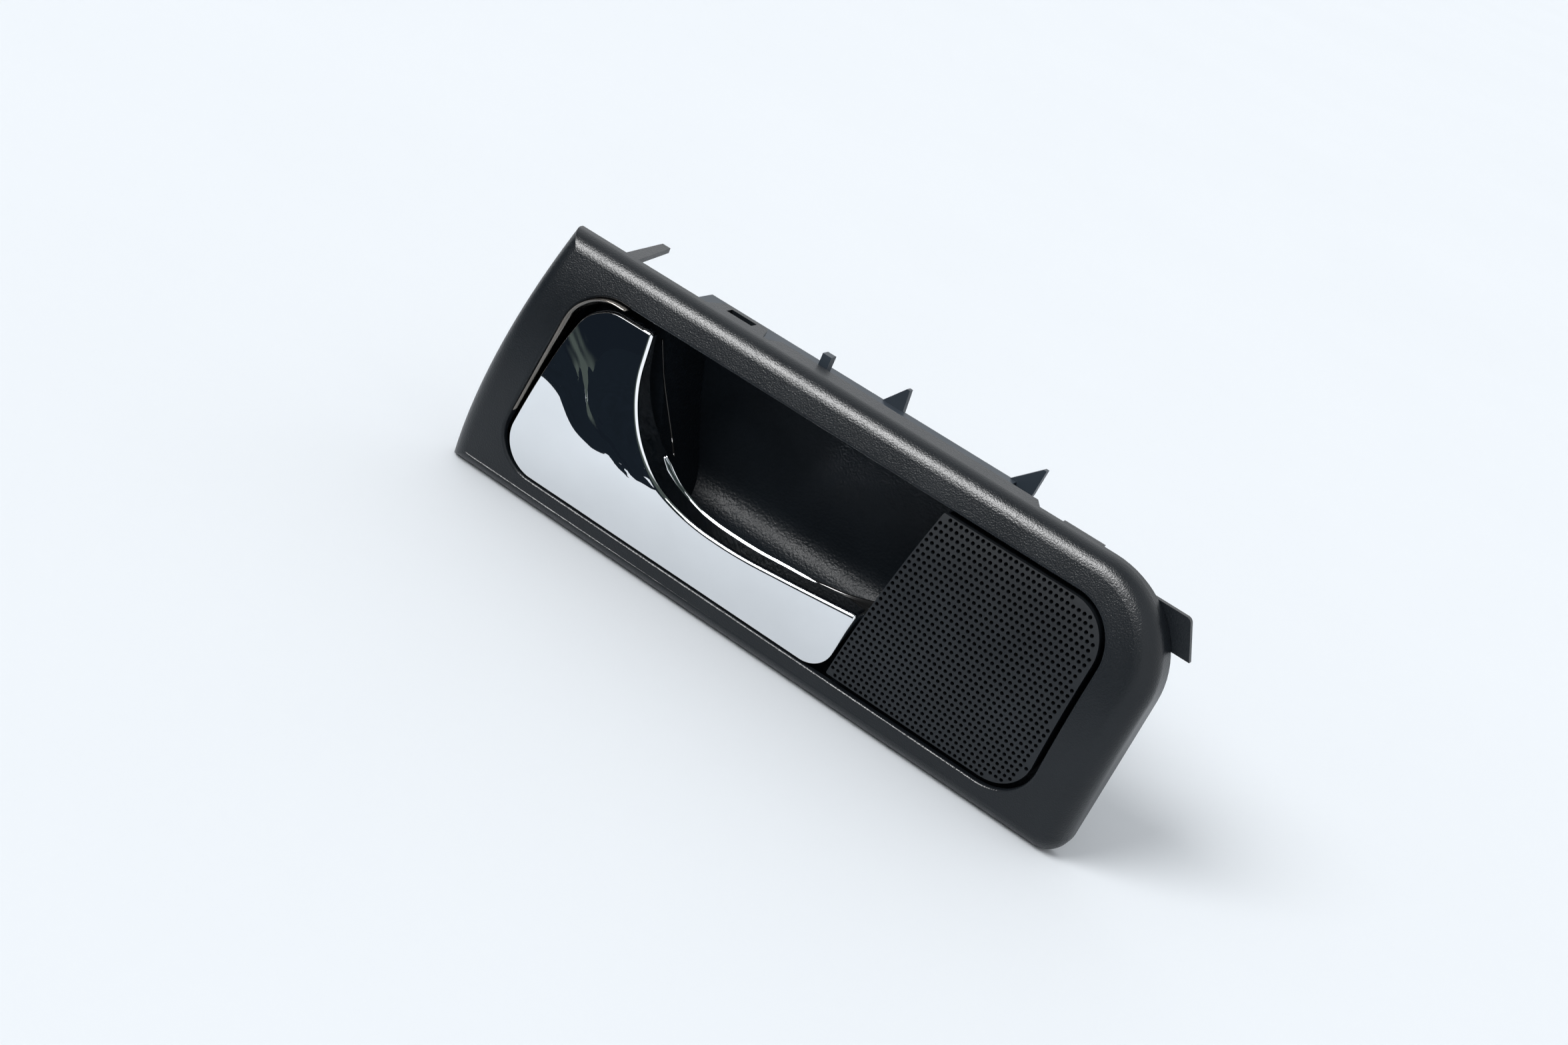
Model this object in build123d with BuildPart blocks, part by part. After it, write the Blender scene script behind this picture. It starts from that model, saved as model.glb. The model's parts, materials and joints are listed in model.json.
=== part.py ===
from build123d import *

import os
from math import cos, radians, sqrt, tan

# Car interior door handle: a bezel with a pull lever, a finger pocket and a speaker grille.
# X runs along the handle, Y runs into the door and Z is up. The origin is the middle of the four
# fixing bosses, on the plane of their ends. Sizes are in millimetres and angles in degrees.

# Planes across Y
seat_y = 0.0
rim_y = -4.0
face_crown = -18.0

# Bezel: the X of a leaning end is taken at mid height
face_radius = 130.0
bezel_top = 42.8
bezel_bottom = -40.6
bezel_left = -107.6
bezel_left_lean = 8.7
bezel_right = 112.5
bezel_right_lean = 3.2
bezel_big_corner = 28.0
bezel_small_corner = 8.0
bezel_wall = 2.2
bezel_roll = 6.5
lip_wall = 1.6
lip_back = -14.0

# Opening in the bezel for the lever, the pocket and the grille
opening_top = 32.3
opening_bottom = -31.5
opening_left = -92.1
opening_left_lean = 8.5
opening_right = 96.9
opening_right_lean = 3.0
opening_corner = 15.0
opening_low_corner = 12.5
opening_round = 0.7

# Fixing bosses on the back of the bezel
boss_span_x = 188.0
boss_span_z = 69.0
boss_radius = 4.0
boss_hole_radius = 1.7
boss_hole_depth = 9.0

# Posts for the carrier's screws, in a row above the pocket and a row below it, with room between the
# screws' heads and the pocket's outside
post_spacing = 66.0
post_count = 3
post_top_room = 0.3
post_bottom_room = 0.2
post_radius = 2.4
post_hole_radius = 1.15
post_hole_depth = 4.6

# Tabs on the bezel's rim
tab_wall = 1.6
tab_inset = 0.3
tab_root = 2.0
blade_x = -82.5
blade_width = 4.6
blade_tip_x = -85.2
blade_tip_width = 3.0
blade_reach = 23.0
latch_x = -44.5
latch_width = 21.0
latch_tip_width = 15.0
latch_reach = 8.0
latch_window_width = 9.0
latch_window_depth = 3.2
latch_window_y = 0.6
ledge_x = 14.0
ledge_width = 94.0
ledge_tip_width = 88.0
ledge_reach = 4.8
stub_x = 74.5
stub_width = 13.0
stub_reach = 2.2
tongue_right = 115.8
tongue_top = 38.0
tongue_bottom = 27.2
tongue_slope = 5.0
tongue_round = 4.0
tongue_back = -2.0

# Carrier: plate, finger pocket, hinge tray and speaker wall
plate_wall = 2.5
plate_fit = 0.4
shell_wall = 1.8
mouth_ledge = 0.8
pocket_back = 24.0
pocket_floor = -24.0
pocket_floor_y = 10.0
pocket_mouth_y = -4.0
pocket_back_round = 8.0
roof_edge_round = 1.5
pocket_floor_round = 12.0
pocket_slope_round = 6.0
pocket_left_top = -66.0
pocket_left_middle = -59.0
pocket_left_middle_z = 8.0
pocket_left_bottom = -40.0
tray_back = 2.0
tray_right = -38.0
speaker_wall = 2.0
grille_ledge = 0.3
grille_fit = 0.1

# Fin and peg on the pocket's roof, and an ear at the end of its back edge: corners of the fin and
# the ear are their X and their height above the roof, the ear's X from the pocket's end
fin_wall = 2.0
fin_corners = ((-4.2, -0.3), (1.6, 6.7), (2.6, 6.7), (3.3, -0.3))
ear_corners = ((-2.5, -0.3), (5.6, 7.3), (6.6, 7.3), (5.8, -1.5), (-2.0, -4.0))
peg_x = -17.0
peg_y = 5.5
peg_size = 3.0
peg_top = 45.0

# Cable guide on the back of the tray
guide_x = -91.5
guide_wall = 4.5
guide_height = 14.0
guide_end = 16.0
cable_y = 13.0
sheath_radius = 2.6

# Grille: rows of holes along X, with each row starting along the leaning left edge
grille_recess = 1.0
grille_wall = 1.6
grille_gap = 1.8
grille_left = 34.4
grille_left_lean = 10.8
grille_corner = 13.0
grille_sharp_corner = 0.5
hole_radius = 0.58
hole_pitch = 1.8
row_pitch = 1.94
row_count = 31
first_hole = 0.95
hole_margin = 0.9

# Lever
lever_crown = -15.0
lever_crown_z = -9.5
lever_radius = 150.0
lever_back = -6.1
lever_wall = 2.2
lever_edge = 0.7
lever_left = -90.3
lever_left_lean = 9.9
lever_right = 32.9
lever_right_lean = 10.8
lever_top = 27.6
lever_bottom_left = -31.0
lever_bottom_right = -30.9
lever_low_corner = 11.5
lever_high_corner = 11.0
lever_end_corner = 9.0
lever_tip_corner = 1.5
lever_tip_x = -64.4
lever_end_z = -8.8
# X, Z and radius of each corner along the finger edge
grip_corners = (
    (-61.3, 11.5, 36.0),
    (-54.3, 0.0, 37.0),
    (-43.0, -9.2, 32.0),
    (-27.5, -13.3, 64.0),
    (-10.0, -13.5, 130.0),
    (12.0, -11.1, 600.0),
)
dish_radius = 60.0
dish_depth = 0.9
dish_x = -71.0
dish_z = 9.0

# Hinge of the lever
hinge_x = -80.0
hinge_y = -7.4
hinge_low = -21.5
hinge_high = 9.0
pin_radius = 1.5
pin_head_radius = 2.6
pin_head_height = 1.5
pin_overhang = 1.6
running_clearance = 0.05
seat_clearance = 0.02
bush_wall = 0.8
bush_flange_radius = 3.2
bush_flange = 0.6
barrel_radius = 3.5
lug_radius = 3.2
lug_wall = 3.5
lug_clearance = 0.4
clip_radius = 3.2
clip_wall = 0.8
clip_gap = 2.0

# Lever core: backing plate with the hinge barrels and the cable arm
core_back = -7.0
core_wall = 2.2
core_left = -84.8
core_head_z = 7.0
core_head_right = -66.0
core_neck_x = -56.0
core_neck_z = -3.0
core_band_left = -46.0
core_band_top = -16.2
core_band_bottom = -26.6
core_right = 20.0
core_notch_x = -75.0
arm_height = 6.0
arm_width = 6.0
arm_end_radius = 4.0
arm_hole_radius = 2.1
window_left = -85.5
window_right = -67.0
window_height = 11.0

# Return spring on the pin
spring_low = -12.2
spring_high = -3.8
spring_room = 4.2
wire_radius = 0.4
coil_radius = 2.5
coil_pitch = 1.0
coil_turns = 6.25
coil_start = -11.2
tray_leg = 8.6
lever_leg = 10.0

# Rubber stop under the lever's free end
stop_x = 14.0
stop_z = -28.4
stop_radius = 2.4
stop_pad = 1.4
stop_gap = 0.3

# Gloss strip round the lever's hinged end
surround_wall = 1.2
surround_right = -58.0
surround_fit = 0.2

# Screws
screw_radius = 1.1
screw_head_radius = 2.0
screw_head_height = 1.5
recess_length = 2.4
recess_width = 0.6
recess_depth = 0.8
lever_screw_places = ((-52.0, -20.5), (-15.0, -21.5), (16.0, -20.5))
lever_boss_radius = 2.6
lever_screw_grip = 2.0
lever_hole_depth = 2.3
carrier_screw_grip = 4.2

# Speaker behind the grille
tweeter_x = 63.5
tweeter_z = 0.0
flange_radius = 24.5
flange_wall = 2.0
gasket_wall = 1.0
throat_radius = 13.0
skirt_wall = 1.6
skirt_length = 5.5
speaker_hole_radius = 19.0
speaker_screw_circle = 21.8
speaker_screw_count = 3
dome_radius = 12.5
dome_height = 4.2
dome_wall = 0.5
dome_rim_radius = 15.2
coil_wall = 0.5
coil_length = 5.0
coil_gap = 0.35
pole_wall = 3.0
magnet_radius = 10.0
magnet_height = 8.0
yoke_radius = 16.8
yoke_base = 3.0
board_width = 12.0
board_height = 8.0
board_wall = 1.2
terminal_spacing = 6.0
terminal_width = 2.8
terminal_wall = 0.8
terminal_length = 8.0

# Longer than any piece, for cuts that pass right through
through = 400.0

plate_front = rim_y - plate_wall
pocket_top = opening_top + mouth_ledge
pocket_bottom = opening_bottom - mouth_ledge
post_top_z = pocket_top + shell_wall + screw_head_radius + post_top_room
post_bottom_z = pocket_bottom - shell_wall - screw_head_radius - post_bottom_room
grille_crown = face_crown + grille_recess
grille_radius = face_radius - grille_recess
core_front = core_back - core_wall
bush_bore = pin_radius + running_clearance
bush_radius = bush_bore + bush_wall
barrel_low = hinge_low + lug_clearance + bush_flange
barrel_high = hinge_high - lug_clearance - bush_flange
stop_seat = lever_back + stop_gap + stop_pad
flange_back = plate_front - gasket_wall
flange_front = flange_back - flange_wall
pole_back = flange_back + pole_wall
magnet_back = pole_back + magnet_height
yoke_back = magnet_back + yoke_base


def lean_x(middle, lean, z):
    """X of a leaning edge at height z, from its X at mid height."""
    return middle + z * tan(radians(lean))


def crown_y(crown, radius, z, centre=0.0):
    """Y of a crowned face at height z."""
    return crown + radius - sqrt(radius**2 - (z - centre) ** 2)


def plan(y):
    """Sketch plane at depth y: its axes are X and Z and it faces out of the door."""
    return Plane.XZ.offset(-y)


def four_sided(left, left_lean, right, right_lean, top, bottom):
    """Corners of an outline with leaning ends, clockwise from its top left."""
    return [
        (lean_x(left, left_lean, top), top),
        (lean_x(right, right_lean, top), top),
        (lean_x(right, right_lean, bottom), bottom),
        (lean_x(left, left_lean, bottom), bottom),
    ]


def rounded(corners, radii):
    """Flat sketch of an outline with rounded corners."""
    with BuildSketch(Plane.XY) as face:
        with BuildLine():
            FilletPolyline(*corners, radius=radii, close=True)
        make_face()
    return face.sketch


def bezel_face(inset):
    """Outline of the bezel drawn in by inset. The roll of its edge ends at the sharp left corners."""
    left = bezel_left + inset / cos(radians(bezel_left_lean))
    right = bezel_right - inset / cos(radians(bezel_right_lean))
    top = bezel_top - inset
    bottom = bezel_bottom + inset
    corners = four_sided(left, bezel_left_lean, right, bezel_right_lean, top, bottom)
    return rounded(corners, [0, bezel_big_corner - inset, bezel_small_corner - inset, 0])


def opening_face(grow):
    """Outline of the bezel's opening drawn out by grow."""
    left = opening_left - grow / cos(radians(opening_left_lean))
    right = opening_right + grow / cos(radians(opening_right_lean))
    top = opening_top + grow
    bottom = opening_bottom - grow
    corners = four_sided(left, opening_left_lean, right, opening_right_lean, top, bottom)
    corner = opening_corner + grow
    return rounded(corners, [corner, corner, corner, opening_low_corner + grow])


def grille_face(inset):
    """Outline of the grille drawn in by inset: it follows the opening's right end inside the gap."""
    left = grille_left + inset / cos(radians(grille_left_lean))
    right = opening_right - (grille_gap + inset) / cos(radians(opening_right_lean))
    top = opening_top - grille_gap - inset
    bottom = opening_bottom + grille_gap + inset
    corners = four_sided(left, grille_left_lean, right, opening_right_lean, top, bottom)
    corner = grille_corner - inset
    return rounded(corners, [grille_sharp_corner, corner, corner, grille_sharp_corner])


def crowned(crown, radius, centre=0.0):
    """Block that fills all the space behind a crowned face."""
    low = centre - radius / 2
    high = centre + radius / 2
    edge = crown_y(crown, radius, high, centre)
    with BuildPart() as block:
        with BuildSketch(Plane.YZ):
            with BuildLine():
                ThreePointArc((edge, low), (crown, centre), (edge, high))
                Polyline((edge, high), (through, high), (through, low), (edge, low))
            make_face()
        extrude(amount=through, both=True)
    return block.part


def bezel_form(inset):
    """Solid form of the bezel drawn in by inset: its outside at 0 and its hollow at the wall."""
    block = crowned(face_crown + inset, face_radius - inset)
    with BuildPart() as form:
        with BuildSketch(plan(rim_y)):
            add(bezel_face(inset))
        extrude(amount=rim_y - face_crown)
        add(block, mode=Mode.INTERSECT)
        front = form.faces().sort_by(Axis.Y)[0]
        fillet(front.edges().sort_by(Axis.X)[1:], bezel_roll - inset)
    return form.part


def post_places():
    """X and Z of the screw posts."""
    first = -post_spacing * (post_count - 1) / 2
    return [(first + i * post_spacing, z) for z in (post_top_z, post_bottom_z) for i in range(post_count)]


bezel_solid = bezel_form(0)
bezel_inside = bezel_form(bezel_wall)

# Hollow of the bezel, which leaves the lip of the opening, the fixing bosses and the screw posts
with BuildPart() as bezel_hollow:
    add(bezel_inside)
    with BuildSketch(plan(lip_back)):
        add(opening_face(lip_wall))
    extrude(amount=through, mode=Mode.SUBTRACT)
    with BuildSketch(plan(rim_y)):
        with GridLocations(boss_span_x, boss_span_z, 2, 2):
            Circle(boss_radius)
    extrude(amount=through, mode=Mode.SUBTRACT)
    with BuildSketch(plan(plate_front)):
        with Locations(*post_places()):
            Circle(post_radius)
    extrude(amount=through, mode=Mode.SUBTRACT)

tabs = (
    (blade_x, blade_width, blade_tip_x, blade_tip_width, blade_reach),
    (latch_x, latch_width, latch_x, latch_tip_width, latch_reach),
    (ledge_x, ledge_width, ledge_x, ledge_tip_width, ledge_reach),
    (stub_x, stub_width, stub_x, stub_width, stub_reach),
)

with BuildPart() as bezel:
    add(bezel_solid)
    with BuildSketch(plan(rim_y)):
        add(opening_face(0))
    extrude(amount=through, mode=Mode.SUBTRACT)
    mouth = bezel.faces().sort_by(Axis.Y)[0].inner_wires()[0]
    fillet(mouth.edges(), opening_round)
    add(bezel_hollow.part, mode=Mode.SUBTRACT)
    with BuildSketch(plan(seat_y)):
        with GridLocations(boss_span_x, boss_span_z, 2, 2):
            Circle(boss_radius)
    extrude(amount=seat_y - rim_y)
    for x, width, tip_x, tip_width, reach in tabs:
        with BuildSketch(Plane.XY.offset(bezel_top - tab_inset)):
            with BuildLine():
                Polyline(
                    (x - width / 2, rim_y - tab_root),
                    (x - width / 2, rim_y),
                    (tip_x - tip_width / 2, rim_y + reach),
                    (tip_x + tip_width / 2, rim_y + reach),
                    (x + width / 2, rim_y),
                    (x + width / 2, rim_y - tab_root),
                    close=True,
                )
            make_face()
        extrude(amount=-tab_wall)
    with BuildSketch(Plane.XY.offset(bezel_top)):
        with Locations((latch_x, latch_window_y)):
            Rectangle(latch_window_width, latch_window_depth)
    extrude(amount=-tab_wall - tab_root, mode=Mode.SUBTRACT)
    with BuildSketch(plan(tongue_back)):
        with BuildLine():
            FilletPolyline(
                (boss_span_x / 2, tongue_bottom),
                (boss_span_x / 2, tongue_top),
                (tongue_right - tongue_slope, tongue_top),
                (tongue_right, tongue_bottom),
                radius=[0, tongue_round, tongue_round / 2, 0],
                close=True,
            )
        make_face()
    extrude(amount=tab_wall)
    with BuildSketch(plan(seat_y)):
        with GridLocations(boss_span_x, boss_span_z, 2, 2):
            Circle(boss_hole_radius)
    extrude(amount=boss_hole_depth, mode=Mode.SUBTRACT)
    with BuildSketch(plan(plate_front)):
        with Locations(*post_places()):
            Circle(post_hole_radius)
    extrude(amount=post_hole_depth, mode=Mode.SUBTRACT)


def pocket_form(grow, back_round):
    """Solid form of the finger pocket: its inside at 0 and its outside at the wall."""
    high = pocket_top + grow
    low = pocket_bottom - grow
    right = grille_left + (grille_ledge + grow) / cos(radians(grille_left_lean))
    with BuildPart() as form:
        with BuildSketch(Plane.YZ):
            with BuildLine():
                FilletPolyline(
                    (plate_front, high),
                    (pocket_back + grow, high),
                    (pocket_back + grow, pocket_floor - grow),
                    (pocket_floor_y, pocket_floor - grow),
                    (pocket_mouth_y, low),
                    (plate_front, low),
                    radius=[0, back_round, pocket_floor_round + grow, pocket_slope_round, 0, 0],
                    close=True,
                )
            make_face()
        extrude(amount=through, both=True)
        with BuildSketch(plan(pocket_back + grow)):
            with BuildLine():
                ThreePointArc(
                    (pocket_left_top - grow, high),
                    (pocket_left_middle - grow, pocket_left_middle_z),
                    (pocket_left_bottom - grow, low),
                )
                Polyline(
                    (pocket_left_bottom - grow, low),
                    (lean_x(right, grille_left_lean, low), low),
                    (lean_x(right, grille_left_lean, high), high),
                    (pocket_left_top - grow, high),
                )
            make_face()
        extrude(amount=through, mode=Mode.INTERSECT)
    return form.part


def tray_form(grow):
    """Solid form of the hinge tray: its inside at 0 and its outside at the wall."""
    with BuildPart() as form:
        with BuildSketch(plan(tray_back + grow)):
            add(opening_face(mouth_ledge + grow))
        extrude(amount=tray_back + grow - plate_front)
        split(bisect_by=Plane.YZ.offset(tray_right + grow), keep=Keep.BOTTOM)
    return form.part


pocket_outside = pocket_form(shell_wall, roof_edge_round)
pocket_inside = pocket_form(0, pocket_back_round)
tray_outside = tray_form(shell_wall)
tray_inside = tray_form(0)
grille_back = crowned(grille_crown + grille_wall, grille_radius - grille_wall)
grille_seat = crowned(grille_crown + grille_wall + grille_fit, grille_radius - grille_wall - grille_fit)

# Wall round the speaker, as far as the back of the grille
with BuildPart() as speaker_ring:
    with BuildSketch(plan(rim_y)):
        add(grille_face(grille_ledge))
        add(grille_face(grille_ledge + speaker_wall), mode=Mode.SUBTRACT)
    extrude(amount=through)
    add(grille_seat, mode=Mode.INTERSECT)

# Post on the pocket's sloping floor that carries the rubber stop
with BuildPart() as stop_post:
    with BuildSketch(plan(pocket_floor_y)):
        with Locations((stop_x, stop_z)):
            Circle(stop_radius)
    extrude(amount=pocket_floor_y - stop_seat)
    add(pocket_outside, mode=Mode.INTERSECT)

roof = pocket_top + shell_wall
end_offset = (grille_ledge + shell_wall) / cos(radians(grille_left_lean))
pocket_end = lean_x(grille_left + end_offset, grille_left_lean, roof)
fins = (
    [(x, roof + rise) for x, rise in fin_corners],
    [(pocket_end + x, roof + rise) for x, rise in ear_corners],
)
guide_root = tray_back + shell_wall / 2

with BuildPart() as carrier:
    with BuildSketch(plan(rim_y)):
        add(bezel_face(bezel_wall + plate_fit))
        with GridLocations(boss_span_x, boss_span_z, 2, 2):
            Circle(boss_radius + plate_fit, mode=Mode.SUBTRACT)
        with Locations(*post_places()):
            Circle(screw_radius + plate_fit, mode=Mode.SUBTRACT)
    extrude(amount=plate_wall)
    add(pocket_outside)
    add(tray_outside)
    add(speaker_ring.part)
    add(pocket_inside, mode=Mode.SUBTRACT)
    add(tray_inside, mode=Mode.SUBTRACT)
    add(stop_post.part)
    for z in (hinge_low - lug_wall, hinge_high):
        with BuildSketch(Plane.XY.offset(z)):
            with Locations((hinge_x, hinge_y)):
                Circle(lug_radius)
            with Locations((hinge_x, (hinge_y + guide_root) / 2)):
                Rectangle(lug_radius * 2, guide_root - hinge_y)
            with Locations((hinge_x, hinge_y)):
                Circle(pin_radius + seat_clearance, mode=Mode.SUBTRACT)
        extrude(amount=lug_wall)
    with BuildSketch(plan(tray_back + shell_wall)):
        with Locations(((window_left + window_right) / 2, 0)):
            Rectangle(window_right - window_left, window_height)
    extrude(amount=shell_wall, mode=Mode.SUBTRACT)
    with BuildSketch(plan(rim_y)):
        with Locations((tweeter_x, tweeter_z)):
            Circle(speaker_hole_radius)
            with PolarLocations(speaker_screw_circle, speaker_screw_count):
                Circle(post_hole_radius)
    extrude(amount=plate_wall, mode=Mode.SUBTRACT)
    for corners in fins:
        with BuildSketch(plan(pocket_back + shell_wall)):
            with BuildLine():
                Polyline(*corners, close=True)
            make_face()
        extrude(amount=fin_wall)
    with BuildSketch(Plane.XY.offset(pocket_top + shell_wall / 2)):
        with Locations((peg_x, peg_y)):
            Rectangle(peg_size, peg_size)
    extrude(amount=peg_top - pocket_top - shell_wall / 2)
    with BuildSketch(Plane.YZ.offset(guide_x - guide_wall / 2)):
        with Locations(((guide_root + guide_end) / 2, 0)):
            Rectangle(guide_end - guide_root, guide_height)
        with Locations((cable_y, 0)):
            Circle(sheath_radius, mode=Mode.SUBTRACT)
        with Locations(((cable_y + guide_end) / 2, 0)):
            Rectangle(guide_end - cable_y, sheath_radius * 2, mode=Mode.SUBTRACT)
    extrude(amount=guide_wall)

surround_room = crowned(face_crown + bezel_wall + surround_fit, face_radius - bezel_wall - surround_fit)

with BuildPart() as lever_surround:
    with BuildSketch(plan(plate_front)):
        add(opening_face(mouth_ledge + surround_wall))
        add(opening_face(mouth_ledge), mode=Mode.SUBTRACT)
    extrude(amount=plate_front - lip_back - surround_fit)
    add(surround_room, mode=Mode.INTERSECT)
    split(bisect_by=Plane.YZ.offset(surround_right), keep=Keep.BOTTOM)

# Each row of the grille keeps the holes that clear its rim
hole_field = grille_face(hole_margin).faces()[0]
column_count = int((opening_right - grille_left) / hole_pitch) + 1
hole_places = []
for row in range(row_count):
    z = opening_top - grille_gap - first_hole - row * row_pitch
    start = lean_x(grille_left + first_hole / cos(radians(grille_left_lean)), grille_left_lean, z)
    spots = [Vector(start + column * hole_pitch, z) for column in range(column_count)]
    hole_places += [spot for spot in spots if hole_field.is_inside(spot)]

grille_front = crowned(grille_crown, grille_radius)

with BuildPart() as grille_skin:
    add(grille_front)
    add(grille_back, mode=Mode.SUBTRACT)

with BuildPart() as grille:
    with BuildSketch(plan(rim_y)):
        add(grille_face(0))
        with Locations(*hole_places):
            Circle(hole_radius, mode=Mode.SUBTRACT)
    extrude(amount=rim_y - face_crown)
    add(grille_skin.part, mode=Mode.INTERSECT)

lever_corners = (
    (lean_x(lever_left, lever_left_lean, lever_top), lever_top),
    (lever_tip_x, lever_top),
    *[(x, z) for x, z, radius in grip_corners],
    (lean_x(lever_right, lever_right_lean, lever_end_z), lever_end_z),
    (lean_x(lever_right, lever_right_lean, lever_bottom_right), lever_bottom_right),
    (lean_x(lever_left, lever_left_lean, lever_bottom_left), lever_bottom_left),
)
lever_rounds = [
    lever_high_corner,
    lever_tip_corner,
    *[radius for x, z, radius in grip_corners],
    lever_tip_corner,
    lever_end_corner,
    lever_low_corner,
]
lever_outline = rounded(lever_corners, lever_rounds)

with BuildSketch(Plane.XY) as lever_inset:
    add(lever_outline)
    offset(amount=-lever_wall, mode=Mode.REPLACE)

lever_front = crowned(lever_crown, lever_radius, lever_crown_z)
lever_inside = crowned(lever_crown + lever_wall, lever_radius - lever_wall, lever_crown_z)

# Hollow of the lever, which leaves the bosses for its screws
with BuildPart() as lever_hollow:
    with BuildSketch(plan(lever_back)):
        add(lever_inset.sketch)
    extrude(amount=lever_back - face_crown)
    add(lever_inside, mode=Mode.INTERSECT)
    with BuildSketch(plan(core_front)):
        with Locations(*lever_screw_places):
            Circle(lever_boss_radius)
    extrude(amount=through, mode=Mode.SUBTRACT)

with BuildPart() as lever:
    with BuildSketch(plan(lever_back)):
        add(lever_outline)
    extrude(amount=lever_back - face_crown)
    add(lever_front, mode=Mode.INTERSECT)
    fillet(lever.faces().sort_by(Axis.Y)[0].edges(), lever_edge)
    dish_y = crown_y(lever_crown, lever_radius, dish_z, lever_crown_z) + dish_depth - dish_radius
    with Locations((dish_x, dish_y, dish_z)):
        Sphere(dish_radius, mode=Mode.SUBTRACT)
    add(lever_hollow.part, mode=Mode.SUBTRACT)
    with BuildSketch(plan(core_front)):
        with Locations(*lever_screw_places):
            Circle(screw_radius + seat_clearance)
    extrude(amount=lever_hole_depth, mode=Mode.SUBTRACT)

with BuildPart() as lever_core:
    with BuildSketch(plan(core_back)):
        with BuildLine():
            Polyline(
                (lean_x(core_left, lever_left_lean, barrel_low), barrel_low),
                (lean_x(core_left, lever_left_lean, core_head_z), core_head_z),
                (core_head_right, core_head_z),
                (core_neck_x, core_neck_z),
                (core_band_left, core_band_top),
                (core_right, core_band_top),
                (core_right, core_band_bottom),
                (core_notch_x, core_band_bottom),
                (core_notch_x, barrel_low),
                close=True,
            )
        make_face()
        with Locations(*lever_screw_places):
            Circle(screw_radius + seat_clearance, mode=Mode.SUBTRACT)
    extrude(amount=core_wall)
    with BuildSketch(Plane.XY.offset(barrel_low)):
        with Locations((hinge_x, hinge_y)):
            Circle(barrel_radius)
    extrude(amount=barrel_high - barrel_low)
    with BuildSketch(Plane.XY.offset(spring_low)):
        with Locations((hinge_x, hinge_y)):
            Circle(spring_room)
    extrude(amount=spring_high - spring_low, mode=Mode.SUBTRACT)
    with BuildSketch(Plane.XY.offset(-arm_height / 2)):
        with Locations((hinge_x, (hinge_y + cable_y) / 2)):
            Rectangle(arm_width, cable_y - hinge_y)
        with Locations((hinge_x, cable_y)):
            Circle(arm_end_radius)
            Circle(arm_hole_radius, mode=Mode.SUBTRACT)
    extrude(amount=arm_height)
    with BuildSketch(Plane.XY.offset(barrel_low)):
        with Locations((hinge_x, hinge_y)):
            Circle(bush_radius + seat_clearance)
    extrude(amount=barrel_high - barrel_low, mode=Mode.SUBTRACT)

with BuildPart() as bush_upper:
    with BuildSketch(Plane.XY.offset(spring_high)):
        with Locations((hinge_x, hinge_y)):
            Circle(bush_radius)
            Circle(bush_bore, mode=Mode.SUBTRACT)
    extrude(amount=barrel_high - spring_high)
    with BuildSketch(Plane.XY.offset(barrel_high)):
        with Locations((hinge_x, hinge_y)):
            Circle(bush_flange_radius)
            Circle(bush_bore, mode=Mode.SUBTRACT)
    extrude(amount=bush_flange)

with BuildPart() as bush_lower:
    with BuildSketch(Plane.XY.offset(spring_low)):
        with Locations((hinge_x, hinge_y)):
            Circle(bush_radius)
            Circle(bush_bore, mode=Mode.SUBTRACT)
    extrude(amount=barrel_low - spring_low)
    with BuildSketch(Plane.XY.offset(barrel_low)):
        with Locations((hinge_x, hinge_y)):
            Circle(bush_flange_radius)
            Circle(bush_bore, mode=Mode.SUBTRACT)
    extrude(amount=-bush_flange)

with BuildPart() as pivot_pin:
    with BuildSketch(Plane.XY.offset(hinge_low - lug_wall - pin_overhang)):
        with Locations((hinge_x, hinge_y)):
            Circle(pin_radius)
    extrude(amount=hinge_high - hinge_low + lug_wall * 2 + pin_overhang)
    with BuildSketch(Plane.XY.offset(hinge_high + lug_wall)):
        with Locations((hinge_x, hinge_y)):
            Circle(pin_head_radius)
    extrude(amount=pin_head_height)

with BuildPart() as pin_clip:
    with BuildSketch(Plane.XY.offset(hinge_low - lug_wall)):
        with Locations((hinge_x, hinge_y)):
            Circle(clip_radius)
            Circle(pin_radius + seat_clearance, mode=Mode.SUBTRACT)
        with Locations((hinge_x, hinge_y + clip_radius / 2)):
            Rectangle(clip_gap, clip_radius, mode=Mode.SUBTRACT)
    extrude(amount=-clip_wall)

# The spring's legs run on from its coil: one rests on the tray's back and one on the lever core
with BuildPart() as spring_form:
    with BuildLine() as wire:
        coil = Helix(coil_pitch, coil_pitch * coil_turns, coil_radius)
        Line(coil @ 0, coil @ 0 - coil % 0 * tray_leg)
        Line(coil @ 1, coil @ 1 + coil % 1 * lever_leg)
    with BuildSketch(Plane(wire.wires()[0] @ 0, z_dir=wire.wires()[0] % 0)):
        Circle(wire_radius)
    sweep()

with BuildPart() as return_spring:
    with Locations(Location((hinge_x, hinge_y, coil_start), (0, 0, 180))):
        add(spring_form.part)

with BuildPart() as bump_stop:
    with BuildSketch(plan(stop_seat)):
        with Locations((stop_x, stop_z)):
            Circle(stop_radius)
    extrude(amount=stop_pad)


def screw_set(places, seat, grip, side):
    """Screws with their heads on the plane at seat: side is 1 if they are driven out of the door."""
    with BuildPart() as screws:
        with BuildSketch(plan(seat)):
            with Locations(*places):
                Circle(screw_radius)
        extrude(amount=grip * side)
        with BuildSketch(plan(seat)):
            with Locations(*places):
                Circle(screw_head_radius)
        extrude(amount=-screw_head_height * side)
        with BuildSketch(plan(seat + screw_head_height * side)):
            with Locations(*places):
                Rectangle(recess_length, recess_width)
                Rectangle(recess_width, recess_length)
        extrude(amount=recess_depth * side, mode=Mode.SUBTRACT)
    return screws.part


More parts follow.
